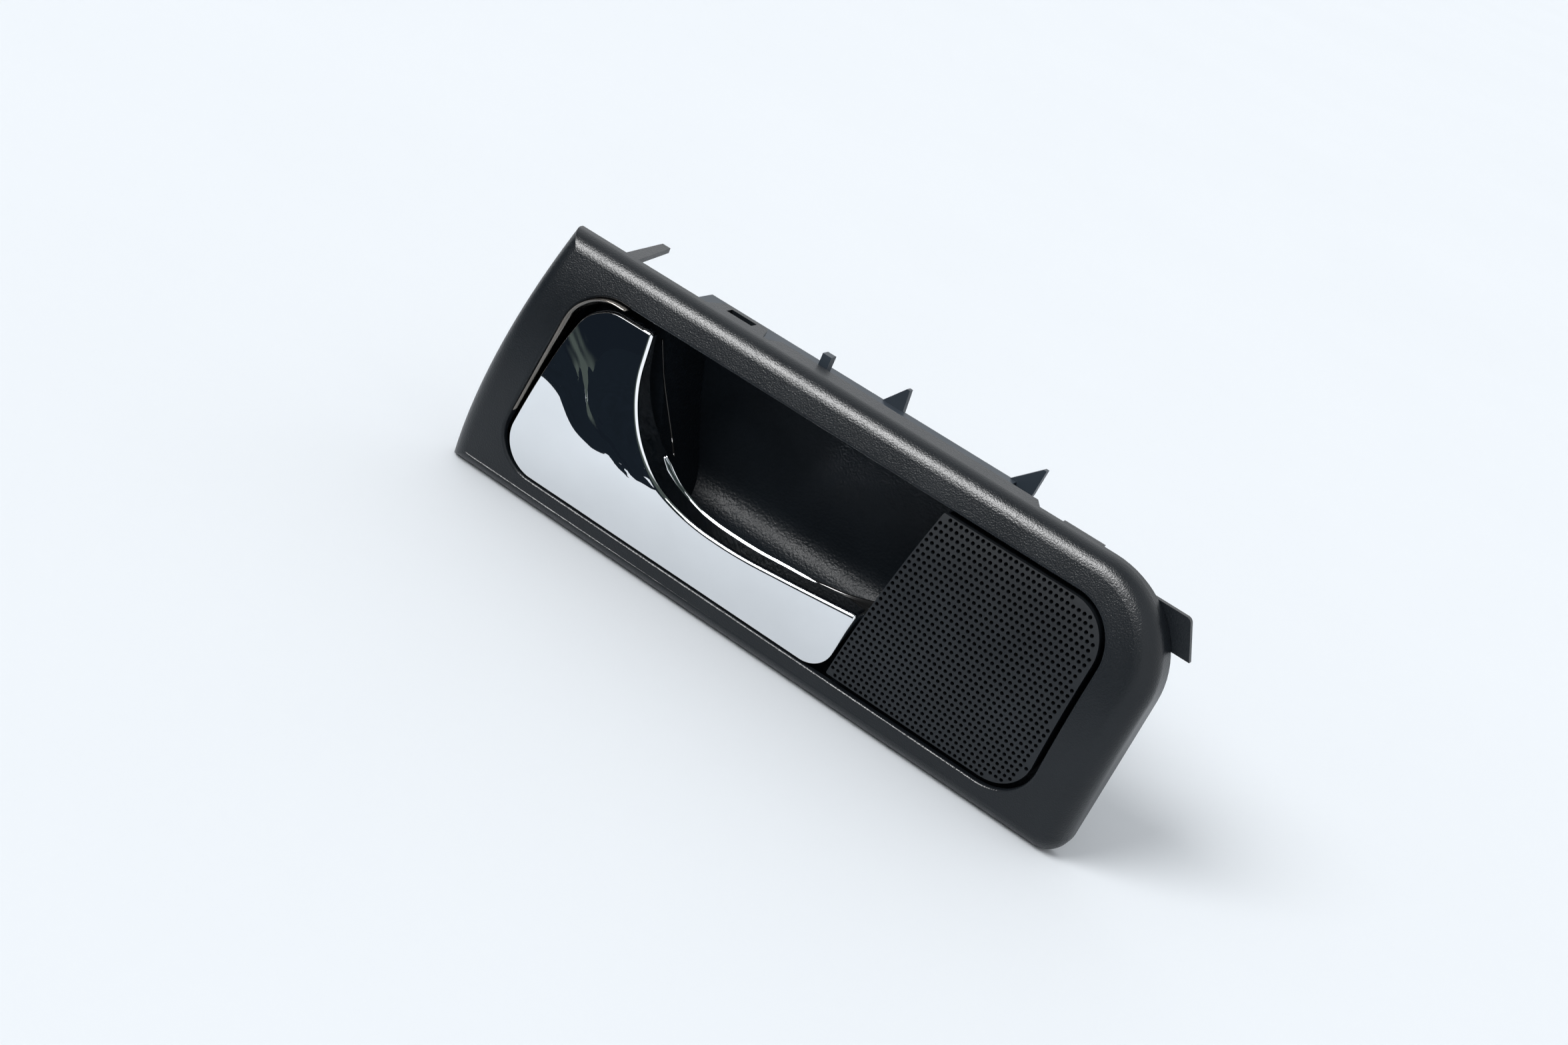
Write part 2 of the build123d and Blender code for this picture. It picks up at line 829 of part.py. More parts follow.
with BuildSketch(Plane.XY) as speaker_screw_spots:
    with Locations((tweeter_x, tweeter_z)):
        with PolarLocations(speaker_screw_circle, speaker_screw_count):
            Circle(screw_radius)
speaker_screw_places = [(spot.center().X, spot.center().Y) for spot in speaker_screw_spots.faces()]

lever_screw_set = screw_set(lever_screw_places, core_back, core_wall + lever_screw_grip, 1)
carrier_screw_set = screw_set(post_places(), rim_y, plate_wall + carrier_screw_grip, 1)
speaker_screw_set = screw_set(speaker_screw_places, flange_front, flange_wall + gasket_wall + plate_wall, -1)

with BuildPart() as lever_screws:
    add(lever_screw_set)

with BuildPart() as carrier_screws:
    add(carrier_screw_set)

with BuildPart() as tweeter_screws:
    add(speaker_screw_set)

with BuildPart() as tweeter_gasket:
    with BuildSketch(plan(plate_front)):
        with Locations((tweeter_x, tweeter_z)):
            Circle(flange_radius)
            Circle(speaker_hole_radius, mode=Mode.SUBTRACT)
        with Locations(*speaker_screw_places):
            Circle(post_hole_radius, mode=Mode.SUBTRACT)
    extrude(amount=gasket_wall)

with BuildPart() as tweeter_frame:
    with BuildSketch(plan(flange_back)):
        with Locations((tweeter_x, tweeter_z)):
            Circle(flange_radius)
            Circle(throat_radius, mode=Mode.SUBTRACT)
        with Locations(*speaker_screw_places):
            Circle(post_hole_radius, mode=Mode.SUBTRACT)
    extrude(amount=flange_wall)
    with BuildSketch(plan(flange_back)):
        with Locations((tweeter_x, tweeter_z)):
            Circle(yoke_radius + seat_clearance + skirt_wall)
            Circle(yoke_radius + seat_clearance, mode=Mode.SUBTRACT)
    extrude(amount=-skirt_length)

dome_front = flange_front - dome_wall
dome_apex = dome_front - dome_height

with BuildPart() as tweeter_dome:
    with BuildSketch(Plane.XY.offset(tweeter_z)):
        with BuildLine():
            TangentArc((tweeter_x, dome_apex), (tweeter_x + dome_radius, dome_front), tangent=(1, 0))
            Polyline(
                (tweeter_x + dome_radius, dome_front),
                (tweeter_x + dome_rim_radius, dome_front),
                (tweeter_x + dome_rim_radius, flange_front),
                (tweeter_x + dome_radius, flange_front),
            )
            TangentArc(
                (tweeter_x, dome_apex + dome_wall), (tweeter_x + dome_radius, flange_front), tangent=(1, 0)
            )
            Line((tweeter_x, dome_apex + dome_wall), (tweeter_x, dome_apex))
        make_face()
    revolve(axis=Axis((tweeter_x, 0, tweeter_z), (0, 1, 0)))

with BuildPart() as voice_coil:
    with BuildSketch(plan(flange_front + coil_length)):
        with Locations((tweeter_x, tweeter_z)):
            Circle(dome_radius)
            Circle(dome_radius - coil_wall, mode=Mode.SUBTRACT)
    extrude(amount=coil_length)

with BuildPart() as tweeter_top_plate:
    with BuildSketch(plan(pole_back)):
        with Locations((tweeter_x, tweeter_z)):
            Circle(dome_radius - coil_wall - coil_gap)
    extrude(amount=pole_wall)

with BuildPart() as tweeter_magnet:
    with BuildSketch(plan(magnet_back)):
        with Locations((tweeter_x, tweeter_z)):
            Circle(magnet_radius)
    extrude(amount=magnet_height)

with BuildPart() as tweeter_yoke:
    with BuildSketch(plan(yoke_back)):
        with Locations((tweeter_x, tweeter_z)):
            Circle(yoke_radius)
    extrude(amount=yoke_back - flange_back)
    with BuildSketch(plan(magnet_back)):
        with Locations((tweeter_x, tweeter_z)):
            Circle(throat_radius)
    extrude(amount=magnet_back - flange_back, mode=Mode.SUBTRACT)

with BuildPart() as tweeter_terminal_board:
    with BuildSketch(plan(yoke_back + board_wall)):
        with Locations((tweeter_x, tweeter_z)):
            Rectangle(board_width, board_height)
    extrude(amount=board_wall)

with BuildPart() as tweeter_terminals:
    with BuildSketch(plan(yoke_back + board_wall + terminal_length)):
        with Locations((tweeter_x, tweeter_z)):
            with GridLocations(terminal_spacing, 0, 2, 1):
                Rectangle(terminal_wall, terminal_width)
    extrude(amount=terminal_length)

pieces = {
    "bezel": bezel,
    "carrier": carrier,
    "lever_surround": lever_surround,
    "grille": grille,
    "lever": lever,
    "lever_core": lever_core,
    "lever_screws": lever_screws,
    "bush_upper": bush_upper,
    "bush_lower": bush_lower,
    "pivot_pin": pivot_pin,
    "pin_clip": pin_clip,
    "return_spring": return_spring,
    "bump_stop": bump_stop,
    "carrier_screws": carrier_screws,
    "tweeter_gasket": tweeter_gasket,
    "tweeter_frame": tweeter_frame,
    "tweeter_dome": tweeter_dome,
    "voice_coil": voice_coil,
    "tweeter_top_plate": tweeter_top_plate,
    "tweeter_magnet": tweeter_magnet,
    "tweeter_yoke": tweeter_yoke,
    "tweeter_terminal_board": tweeter_terminal_board,
    "tweeter_terminals": tweeter_terminals,
    "tweeter_screws": tweeter_screws,
}

os.makedirs("parts", exist_ok=True)
for name, piece in pieces.items():
    piece.part.label = name
    export_step(piece.part, f"parts/{name}.step")
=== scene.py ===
import json
import math

import bpy
import numpy as np
from mathutils import Matrix, Vector
from mathutils.geometry import delaunay_2d_cdt


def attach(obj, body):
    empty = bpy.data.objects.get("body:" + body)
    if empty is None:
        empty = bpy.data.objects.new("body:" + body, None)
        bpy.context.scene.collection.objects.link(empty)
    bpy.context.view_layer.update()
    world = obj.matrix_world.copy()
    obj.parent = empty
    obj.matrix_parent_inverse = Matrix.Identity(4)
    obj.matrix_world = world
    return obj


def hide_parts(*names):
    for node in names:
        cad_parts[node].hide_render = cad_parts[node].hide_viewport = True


MM = 0.001

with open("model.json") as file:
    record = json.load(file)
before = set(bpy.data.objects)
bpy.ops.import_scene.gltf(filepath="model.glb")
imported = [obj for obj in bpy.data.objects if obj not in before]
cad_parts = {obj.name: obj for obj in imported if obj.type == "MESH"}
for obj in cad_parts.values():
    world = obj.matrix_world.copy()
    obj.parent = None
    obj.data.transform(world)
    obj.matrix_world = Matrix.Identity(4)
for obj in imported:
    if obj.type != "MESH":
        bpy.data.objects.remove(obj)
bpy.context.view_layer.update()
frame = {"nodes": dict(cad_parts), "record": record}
nodes = frame["nodes"]

# Camera, fitted to the photo, in millimetres
CAMERA_PLACE = (228.25, -571.57, 258.69)
CAMERA_RIGHT = (0.786, 0.494, 0.372)
CAMERA_BACK = (0.350, -0.851, 0.391)
CAMERA_LENS = 53.72
SENSOR_WIDTH = 36.0
CAMERA_REACH = 100.0
FLOOR_Z = -40.7
FLOOR_HALF = 15000.0

# Lever: corners of its outline in X and Z with their radii, in millimetres
LEVER_CORNERS = (
    (-85.48, 27.6, 11.0),
    (-64.4, 27.6, 1.5),
    (-61.3, 11.5, 36.0),
    (-54.3, 0.0, 37.0),
    (-43.0, -9.2, 32.0),
    (-27.5, -13.3, 64.0),
    (-10.0, -13.5, 130.0),
    (12.0, -11.1, 600.0),
    (31.22, -8.8, 1.5),
    (27.0, -30.9, 9.0),
    (-95.71, -31.0, 11.5),
)
LEVER_STEP = 0.6
LEVER_CROWN = -15.0
LEVER_CROWN_Z = -9.5
LEVER_RADIUS = 150.0
LEVER_BACK = -6.1
LEVER_WALL = 2.2
LEVER_THIN_WALL = 0.6
LEVER_RIM = 1.2
LEVER_CORE_FRONT = -9.4
LEVER_EDGE = 1.4
LEVER_CRISP_EDGE = 0.3
LEVER_GRID = 0.7
LEVER_WELD = 1e-6
# Where the edge turns from crisp to soft, along Z and along X
SOFT_EDGE_Z = (-24.0, -14.0)
SOFT_EDGE_X = (-88.0, -82.0)
# Shares of the edge's width where its rings lie
EDGE_RINGS = (0.0, 0.02, 0.06, 0.12, 0.2, 0.3, 0.42, 0.55, 0.7, 0.85, 1.0, 1.05)
# The finger edge faces this way, and how far its back stands out from its front, along X
GRIP_WAY = (0.6, 0.8)
GRIP_SHARE = 0.2
FLANGE_X = (-63.5, -60.0, -52.8, -45.0, -38.9, -28.3, -16.0, 0.6, 12.0)
FLANGE_LEAN = (0.0, 1.0, 2.2, 2.4, 1.4, 0.5, 0.6, 0.4, 0.0)
# The fold that drops the paddle behind the band: X and Z of its line
FOLD_LINE = (
    (-108.0, 36.0), (-98.0, 25.0), (-89.7, 17.3), (-84.2, 12.95), (-79.8, 9.7), (-76.9, 5.55), (-71.7, -2.3),
    (-65.0, -5.4), (-60.0, -7.2), (-54.0, -9.2), (-48.0, -10.3), (-42.0, -10.8), (-36.0, -10.6),
    (-28.0, -8.0), (-15.0, 0.0),
)
FOLD_SLOPE = 0.23
FOLD_FADE = (-54.0, -33.0)
FOLD_LEAD = 2.4
FOLD_LEAD_MORE = 4.6
FOLD_LEAD_RISE = (-96.0, -66.0)
FOLD_LEAD_FALL = (-66.0, -50.0)
FOLD_END = 4.2
RIPPLE = 0.026
RIPPLE_LENGTH = 2.3
RIPPLE_REACH = 2.6
RIPPLE_SWAY = 0.35
RIPPLE_CROSS = 0.6
RIPPLE_CROSS_WAY = (0.9, 0.4)
FOLD_STEPS = 10
FEWEST_ARC_STEPS = 6
PATCH_DETAIL = 4.0


def node_of(tree, kind):
    return tree.nodes.new("ShaderNode" + kind)


def noise(tree, size, detail=2.0, stretch=(1.0, 1.0, 1.0)):
    """Noise with grains of that size in metres, fixed to the piece."""
    coords = node_of(tree, "TexCoord")
    mapping = node_of(tree, "Mapping")
    texture = node_of(tree, "TexNoise")
    mapping.inputs["Scale"].default_value = stretch
    texture.inputs["Scale"].default_value = 1.0 / size
    texture.inputs["Detail"].default_value = detail
    tree.links.new(coords.outputs["Object"], mapping.inputs["Vector"])
    tree.links.new(mapping.outputs["Vector"], texture.inputs["Vector"])
    return texture.outputs["Fac"]


def spread(tree, value, low, high, start=0.3, end=0.7):
    """The value's range start..end stretched over low..high."""
    node = node_of(tree, "MapRange")
    node.inputs["From Min"].default_value = start
    node.inputs["From Max"].default_value = end
    node.inputs["To Min"].default_value = low
    node.inputs["To Max"].default_value = high
    tree.links.new(value, node.inputs["Value"])
    return node.outputs["Result"]


def combined(tree, operation, first, second):
    """Two values combined by a math operation."""
    node = node_of(tree, "Math")
    node.operation = operation
    tree.links.new(first, node.inputs[0])
    tree.links.new(second, node.inputs[1])
    return node.outputs["Value"]


def blend_colours(tree, factor, first, second):
    """A colour between the first and the second. Either may be a colour or another node's output."""
    node = node_of(tree, "MixRGB")
    tree.links.new(factor, node.inputs["Fac"])
    for name, colour in (("Color1", first), ("Color2", second)):
        if isinstance(colour, tuple):
            node.inputs[name].default_value = (*colour, 1.0)
        else:
            tree.links.new(colour, node.inputs[name])
    return node.outputs["Color"]


def bumped(tree, value, height, strength=None):
    """Bump of that height in metres, with its strength from another value if there is one."""
    node = node_of(tree, "Bump")
    node.inputs["Strength"].default_value = 1.0
    node.inputs["Distance"].default_value = height
    tree.links.new(value, node.inputs["Height"])
    if strength is not None:
        tree.links.new(strength, node.inputs["Strength"])
    return node.outputs["Normal"]


def shader_of(material):
    return next(n for n in material.node_tree.nodes if n.type == "BSDF_PRINCIPLED")


def painted(name, dark, light, rough, grain, height, wear=20.0, metallic=0.0, specular=0.5,
            stretch=(1.0, 1.0, 1.0)):
    """A finish whose tone and roughness change over the wear size and whose grain stands out by the height.

    Grain, height and wear are in millimetres.
    """
    material = bpy.data.materials.new(name)
    material.use_nodes = True
    tree = material.node_tree
    shader = shader_of(material)
    patches = noise(tree, wear * MM, PATCH_DETAIL)
    grains = noise(tree, grain * MM, stretch=stretch)
    tones = blend_colours(tree, spread(tree, patches, 0.0, 1.0), dark, light)
    tree.links.new(tones, shader.inputs["Base Color"])
    tree.links.new(spread(tree, patches, *rough), shader.inputs["Roughness"])
    tree.links.new(bumped(tree, grains, height * MM), shader.inputs["Normal"])
    shader.inputs["Metallic"].default_value = metallic
    shader.inputs["Specular IOR Level"].default_value = specular
    return material


def grey(tone, tint=(1.0, 1.0, 1.0)):
    return tuple(tone * t for t in tint)


# Bluish tint put into the dark finishes' base colours: a painted cool cast of the room's light
PAINTED_COOL_CAST = (0.75, 1.0, 1.30)
# Carrier: grained up to the pocket's roof, and smoother and painted lighter above it (a painted sheen of the
# lit roof and fins), over this height
CARRIER_SMOOTH_Z = (33.0 * MM, 34.2 * MM)
CARRIER_WEAR = 20.0 * MM
CARRIER_GRAIN = 0.8 * MM
CARRIER_GRAIN_HEIGHT = 0.2 * MM
CARRIER_GRAIN_OUTSIDE = 0.05
CARRIER_ROUGH = (0.34, 0.42)
CARRIER_TONES = (grey(0.013, PAINTED_COOL_CAST), grey(0.017, PAINTED_COOL_CAST))
CARRIER_PAINTED_SHEEN_TONE = grey(0.05, PAINTED_COOL_CAST)
CARRIER_SPECULAR = (0.085, 0.22)


def carrier_finish():
    """Coarse sparkling grain inside the pocket, and smooth moulding above its roof, painted lighter there as
    a painted sheen of the lit roof and fins.
    """
    material = bpy.data.materials.new("grained_black")
    material.use_nodes = True
    tree = material.node_tree
    shader = shader_of(material)
    coords = node_of(tree, "TexCoord")
    split = node_of(tree, "SeparateXYZ")
    tree.links.new(coords.outputs["Object"], split.inputs[0])
    outside = spread(tree, split.outputs["Z"], 0.0, 1.0, *CARRIER_SMOOTH_Z)
    grained = spread(tree, split.outputs["Z"], 1.0, CARRIER_GRAIN_OUTSIDE, *CARRIER_SMOOTH_Z)
    patches = noise(tree, CARRIER_WEAR, PATCH_DETAIL)
    tones = blend_colours(tree, spread(tree, patches, 0.0, 1.0), *CARRIER_TONES)
    # Above the roof the tone turns lighter: a painted sheen of the lit roof and fins
    tones = blend_colours(tree, outside, tones, CARRIER_PAINTED_SHEEN_TONE)
    grains = bumped(tree, noise(tree, CARRIER_GRAIN), CARRIER_GRAIN_HEIGHT, grained)
    tree.links.new(tones, shader.inputs["Base Color"])
    tree.links.new(spread(tree, patches, *CARRIER_ROUGH), shader.inputs["Roughness"])
    tree.links.new(grains, shader.inputs["Normal"])
    tree.links.new(spread(tree, outside, *CARRIER_SPECULAR, 0.0, 1.0), shader.inputs["Specular IOR Level"])
    return material


FINISHES = {
    "satin_black": painted(
        "satin_black", grey(0.0095, PAINTED_COOL_CAST), grey(0.0115, PAINTED_COOL_CAST), (0.29, 0.34), 0.45, 0.10, specular=0.28),
    "grained_black": carrier_finish(),
    "gloss_black": painted("gloss_black", grey(0.008), grey(0.012), (0.06, 0.12), 1.5, 0.004),
    "grille_black": painted(
        "grille_black", grey(0.010, PAINTED_COOL_CAST), grey(0.013, PAINTED_COOL_CAST), (0.42, 0.48), 0.3, 0.008, specular=0.3),
    "chrome": painted(
        "chrome", (0.79, 0.81, 0.83), (0.83, 0.85, 0.87), (0.01, 0.03), 6.0, 0.001, metallic=1.0),
    "screw_steel": painted(
        "screw_steel", grey(0.32), grey(0.46), (0.28, 0.42), 0.3, 0.004, wear=2.0, metallic=1.0),
    "bush_bronze": painted(
        "bush_bronze", (0.42, 0.28, 0.13), (0.56, 0.40, 0.20), (0.34, 0.48), 0.2, 0.006, wear=2.0,
        metallic=1.0),
    "pin_steel": painted(
        "pin_steel", grey(0.48), grey(0.62), (0.18, 0.30), 0.3, 0.003, wear=3.0, metallic=1.0,
        stretch=(1.0, 1.0, 0.1)),
    "spring_steel": painted(
        "spring_steel", grey(0.26), grey(0.38), (0.26, 0.38), 0.2, 0.003, wear=2.0, metallic=1.0),
    "stop_rubber": painted("stop_rubber", grey(0.012), grey(0.022), (0.70, 0.85), 0.3, 0.01, wear=3.0),
    "gasket_foam": painted("gasket_foam", grey(0.025), grey(0.045), (0.85, 0.95), 0.5, 0.06, wear=4.0),
    "frame_plastic": painted("frame_plastic", grey(0.016), grey(0.024), (0.40, 0.52), 0.3, 0.012, wear=10.0),
    "dome_fabric": painted("dome_fabric", grey(0.020), grey(0.036), (0.55, 0.70), 0.25, 0.03, wear=4.0),
    "coil_copper": painted(
        "coil_copper", (0.46, 0.20, 0.10), (0.62, 0.30, 0.16), (0.30, 0.42), 0.2, 0.01, wear=3.0,
        metallic=1.0, stretch=(1.0, 8.0, 1.0)),
    "plate_steel": painted(
        "plate_steel", grey(0.36), grey(0.50), (0.26, 0.40), 0.4, 0.004, wear=6.0, metallic=1.0),
    "magnet_grey": painted("magnet_grey", grey(0.06), grey(0.10), (0.55, 0.70), 0.4, 0.012, wear=4.0),
    "board_brown": painted(
        "board_brown", (0.14, 0.06, 0.02), (0.22, 0.10, 0.035), (0.45, 0.60), 0.4, 0.008, wear=3.0,
        stretch=(1.0, 1.0, 4.0)),
    "terminal_brass": painted(
        "terminal_brass", (0.58, 0.50, 0.32), (0.72, 0.64, 0.44), (0.22, 0.36), 0.3, 0.004, wear=2.0,
        metallic=1.0),
}


def mesh_piece(name, points, faces, normals=None):
    """A mesh object from points in millimetres, smooth or shaded with its own vertex normals."""
    mesh = bpy.data.meshes.new(name)
    mesh.from_pydata([tuple(p) for p in np.asarray(points) * MM], [], faces)
    mesh.update()
    mesh.polygons.foreach_set("use_smooth", [True] * len(mesh.polygons))
    if normals is not None:
        mesh.normals_split_custom_set_from_vertices([tuple(n) for n in normals])
    piece = bpy.data.objects.new(name, mesh)
    bpy.context.scene.collection.objects.link(piece)
    return piece


def finished(piece, body, slot, finish=None):
    """The piece set on its body with its slot's finish, or with another one."""
    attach(piece, body)
    piece.data.materials.append(finish or FINISHES[slot])


def rounded_outline(corners, step):
    """Points along an outline with rounded corners, given clockwise, and their outward directions."""
    places = [np.array(c[:2]) for c in corners]
    count = len(places)
    arcs = []
    for i, here in enumerate(places):
        radius = corners[i][2]
        back = places[i - 1] - here
        ahead = places[(i + 1) % count] - here
        back, ahead = back / np.linalg.norm(back), ahead / np.linalg.norm(ahead)
        half = 0.5 * math.acos(np.dot(back, ahead))
        middle = back + ahead
        centre = here + middle / np.linalg.norm(middle) * radius / math.sin(half)
        reach = radius / math.tan(half)
        side = 1.0 if ahead[0] * back[1] < ahead[1] * back[0] else -1.0
        arcs.append((centre, radius, here + back * reach, here + ahead * reach, side))
    points, outward = [], []
    for i, (centre, radius, first, last, side) in enumerate(arcs):
        start = math.atan2(*(first - centre)[::-1])
        sweep = (math.atan2(*(last - centre)[::-1]) - start + math.pi) % (2 * math.pi) - math.pi
        steps = max(FEWEST_ARC_STEPS, int(abs(sweep) * radius / step))
        for k in range(steps + 1):
            angle = start + sweep * k / steps
            direction = np.array((math.cos(angle), math.sin(angle)))
            points.append(centre + radius * direction)
            outward.append(direction * side)
        run = arcs[(i + 1) % count][2] - last
        length = np.linalg.norm(run)
        pieces = int(length / step)
        for k in range(1, pieces):
            points.append(last + run * k / pieces)
            outward.append(np.array((-run[1], run[0])) / length)
    return np.array(points), np.array(outward)


def inside(points, outline):
    """Which points lie inside a closed outline."""
    x, z = points[:, 0], points[:, 1]
    result = np.zeros(len(points), bool)
    for (x0, z0), (x1, z1) in zip(outline, np.roll(outline, -1, axis=0)):
        if z0 == z1:
            continue
        crosses = (z0 > z) != (z1 > z)
        result ^= crosses & (x < (x1 - x0) * (z - z0) / (z1 - z0) + x0)
    return result


def smooth_step(value, start, end):
    t = np.clip((value - start) / (end - start), 0.0, 1.0)
    return t * t * (3.0 - 2.0 * t)


def smooth_curve(points, steps):
    """Points along a smooth curve through the given ones."""
    p = np.array(points, float)
    p = np.concatenate(([2 * p[0] - p[1]], p, [2 * p[-1] - p[-2]]))
    curve = []
    for a, b, c, d in zip(p[:-3], p[1:-2], p[2:-1], p[3:]):
        for k in range(steps):
            t = k / steps
            curve.append(0.5 * (2 * b + (c - a) * t + (2 * a - 5 * b + 4 * c - d) * t**2
                                + (3 * b - a - 3 * c + d) * t**3))
    curve.append(p[-2])
    return np.array(curve)


FOLD_CURVE = smooth_curve(FOLD_LINE, FOLD_STEPS)


def fold_distance(points):
    """Signed distance from the lever's fold, positive towards its upper right."""
    best = np.full(len(points), np.inf)
    sign = np.ones(len(points))
    for a, b in zip(FOLD_CURVE[:-1], FOLD_CURVE[1:]):
        run = b - a
        t = np.clip(((points - a) @ run) / (run @ run), 0.0, 1.0)
        away = points - (a + t[:, None] * run)
        distance = np.linalg.norm(away, axis=1)
        nearer = distance < best
        best = np.where(nearer, distance, best)
        sign = np.where(nearer, np.sign(run[0] * away[:, 1] - run[1] * away[:, 0]), sign)
    return best * sign


def lever_front(points):
    """Y of the lever's face: its crown, and the fold that drops the paddle at its hinged end."""
    x, z = points[:, 0], points[:, 1]
    rise = LEVER_RADIUS - np.sqrt(LEVER_RADIUS**2 - (z - LEVER_CROWN_Z) ** 2)
    slope = FOLD_SLOPE * (1.0 - smooth_step(x, *FOLD_FADE))
    middle = smooth_step(x, *FOLD_LEAD_RISE) * (1.0 - smooth_step(x, *FOLD_LEAD_FALL))
    lead = FOLD_LEAD + FOLD_LEAD_MORE * middle
    s = fold_distance(points)
    before = lead * np.exp(np.minimum(s, 0.0) / lead)
    after = FOLD_END * (1.0 - np.exp(-np.maximum(s, 0.0) / FOLD_END))
    sway = np.sin(RIPPLE_SWAY * x) + RIPPLE_CROSS * np.sin(points @ RIPPLE_CROSS_WAY)
    wave = np.sin(2.0 * math.pi * s / RIPPLE_LENGTH + sway)
    ripple = RIPPLE * wave * np.exp(-((s / RIPPLE_REACH) ** 2)) * slope / FOLD_SLOPE
    return LEVER_CROWN + rise + slope * (before + after) + ripple


def face_normals(points, height, reach=0.05):
    """Outward normals of a face given by its Y over X and Z."""
    dx = (height(points + (reach, 0.0)) - height(points - (reach, 0.0))) / (2.0 * reach)
    dz = (height(points + (0.0, reach)) - height(points - (0.0, reach))) / (2.0 * reach)
    normals = np.stack((dx, -np.ones(len(points)), dz), axis=1)
    return normals / np.linalg.norm(normals, axis=1)[:, None]


def lever_inside(plane):
    """Y of the inside of the lever's face, in front of its core."""
    front = lever_front(plane)
    return np.maximum(front + LEVER_THIN_WALL, np.minimum(front + LEVER_WALL, LEVER_CORE_FRONT))


lever_outline, lever_outward = rounded_outline(LEVER_CORNERS, LEVER_STEP)
on_grip = lever_outward @ GRIP_WAY > GRIP_SHARE
lean = np.interp(lever_outline[:, 0], FLANGE_X, FLANGE_LEAN) * on_grip
lever_rear = lever_outline + lever_outward * lean[:, None]


def lever_mesh():
    """Points, normals and faces of the lever's shell: its face, its side walls, its rim and its inside."""
    outline, outward = lever_outline, lever_outward
    count = len(outline)
    out3 = np.stack((outward[:, 0], np.zeros(count), outward[:, 1]), axis=1)
    soft = smooth_step(outline[:, 1], *SOFT_EDGE_Z) * smooth_step(outline[:, 0], *SOFT_EDGE_X)
    edge = LEVER_CRISP_EDGE + (LEVER_EDGE - LEVER_CRISP_EDGE) * soft
    points, normals, faces = [], [], []

    def add_points(plane, y, normal):
        start = len(points)
        points.extend((p[0], d, p[1]) for p, d in zip(plane, y))
        normals.extend(normal)
        return start

    def join(first, second):
        for k in range(count):
            n = (k + 1) % count
            faces.append((first + k, second + k, second + n, first + n))

    at_back = np.full(count, LEVER_BACK)
    last = add_points(lever_rear, at_back, out3)
    for share in EDGE_RINGS:
        plane = outline - outward * (edge * share)[:, None]
        tilt = max(0.0, 1.0 - share)
        flat = math.sqrt(1.0 - tilt**2)
        normal = face_normals(plane, lever_front) * flat + out3 * tilt
        ring = add_points(plane, lever_front(plane) + edge * (1.0 - flat), normal)
        join(ring, last)
        last = ring
    face_edge = outline - outward * (edge * EDGE_RINGS[-1])[:, None]
    low, high = outline.min(0), outline.max(0)
    xs = np.arange(low[0], high[0], LEVER_GRID)
    zs = np.arange(low[1], high[1], LEVER_GRID)
    grid = np.stack(np.meshgrid(xs, zs), axis=-1).reshape(-1, 2)
    grid = grid[inside(grid, face_edge - outward * 0.5 * LEVER_GRID)]
    start = add_points(grid, lever_front(grid), face_normals(grid, lever_front))
    plane = np.concatenate((face_edge, grid))
    found = delaunay_2d_cdt([Vector(p) for p in plane], [], [list(range(count))], 1, LEVER_WELD)
    originals = [o[0] for o in found[3]]
    numbers = [last + o if o < count else start + o - count for o in originals]
    faces.extend(tuple(numbers[i] for i in face) for face in found[2])

    rim_plane = outline - outward * LEVER_RIM
    behind = np.tile((0.0, 1.0, 0.0), (count, 1))
    join(add_points(lever_rear, at_back, behind), add_points(rim_plane, at_back, behind))
    join(add_points(rim_plane, at_back, -out3), add_points(rim_plane, lever_inside(rim_plane), -out3))
    inner_edge = add_points(rim_plane, lever_inside(rim_plane), behind)
    inner_grid = add_points(grid, lever_inside(grid), np.tile((0.0, 1.0, 0.0), (len(grid), 1)))
    numbers = [inner_edge + o if o < count else inner_grid + o - count for o in originals]
    faces.extend(tuple(numbers[i] for i in face) for face in found[2])
    normals = np.array(normals)
    return np.array(points), normals / np.linalg.norm(normals, axis=1)[:, None], faces


def facing_out(points, normals, faces):
    """The faces, each turned so that it faces along its corners' normals."""
    turned = []
    for face in faces:
        a, b, c = points[face[0]], points[face[1]], points[face[2]]
        ahead = np.dot(np.cross(b - a, c - a), normals[list(face)].mean(0)) > 0
        turned.append(face if ahead else face[::-1])
    return turned


def tube(name, path, radii, sides=10):
    """A round bead along a path, with its radius at each point and flat caps at its ends."""
    path = np.asarray(path, float)
    ahead = np.gradient(path, axis=0)
    ahead /= np.linalg.norm(ahead, axis=1)[:, None]
    points, faces = [], []
    for place, way, radius in zip(path, ahead, radii):
        side = np.cross(way, (0.0, 1.0, 0.0))
        side /= np.linalg.norm(side)
        other = np.cross(side, way)
        for k in range(sides):
            angle = 2.0 * math.pi * k / sides
            points.append(place + radius * (side * math.cos(angle) + other * math.sin(angle)))
    for i in range(len(path) - 1):
        for k in range(sides):
            n = (k + 1) % sides
            faces.append((i * sides + k, i * sides + n, (i + 1) * sides + n, (i + 1) * sides + k))
    faces.append(tuple(range(sides))[::-1])
    faces.append(tuple((len(path) - 1) * sides + k for k in range(sides)))
    return mesh_piece(name, points, faces)


def section_strip(name, sections):
    """A closed strip through sections with the same number of points each."""
    count = len(sections[0])
    points = [p for section in sections for p in section]
    faces = []
    for i in range(len(sections) - 1):
        for k in range(count):
            n = (k + 1) % count
            faces.append((i * count + k, i * count + n, (i + 1) * count + n, (i + 1) * count + k))
    faces.append(tuple(range(count))[::-1])
    faces.append(tuple((len(sections) - 1) * count + k for k in range(count)))
    return mesh_piece(name, points, faces)


lever_points, lever_normals, lever_faces = lever_mesh()
lever_faces = facing_out(lever_points, lever_normals, lever_faces)
lever = mesh_piece("lever_shell", lever_points, lever_faces, lever_normals)
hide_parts("lever")
finished(lever, "pull_lever", "chrome")

